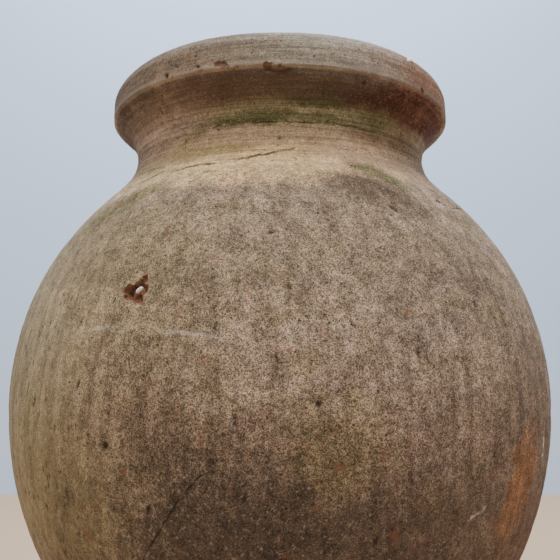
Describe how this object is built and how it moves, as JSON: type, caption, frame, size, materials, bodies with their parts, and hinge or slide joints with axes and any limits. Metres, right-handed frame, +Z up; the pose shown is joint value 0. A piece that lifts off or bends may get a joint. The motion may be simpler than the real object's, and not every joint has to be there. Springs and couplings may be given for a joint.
{
  "type": "oil jar",
  "caption": "Large handle-less terracotta storage jar, belt-built, with a wide swelling belly, a short neck and a heavy folded rim round an open mouth.",
  "frame": {"origin": "centre of the foot's underside, on the surface that the jar stands on", "axes": "+Z up the jar's axis to the mouth; the jar is round, and -Y is the side with the flake scar turned towards -X"},
  "size_m": [0.535, 0.535, 0.72],
  "materials": {
    "weathered_clay": "matt, weathered, unglazed",
    "inner_clay": "matt, unglazed, clean",
    "lime": "chalky"
  },
  "bodies": {
    "root": {"base_slab": "weathered_clay", "corner_coil": "inner_clay", "foot_belt": "weathered_clay", "lower_belt": "weathered_clay", "flare_belt": "weathered_clay", "belly_belt": "weathered_clay", "upper_belly_belt": "weathered_clay", "shoulder_belt": "weathered_clay", "shoulder_cap": "weathered_clay", "neck_collar": "weathered_clay", "rim_ring": "weathered_clay", "lime_nodules": "lime"}
  },
  "joints": []
}
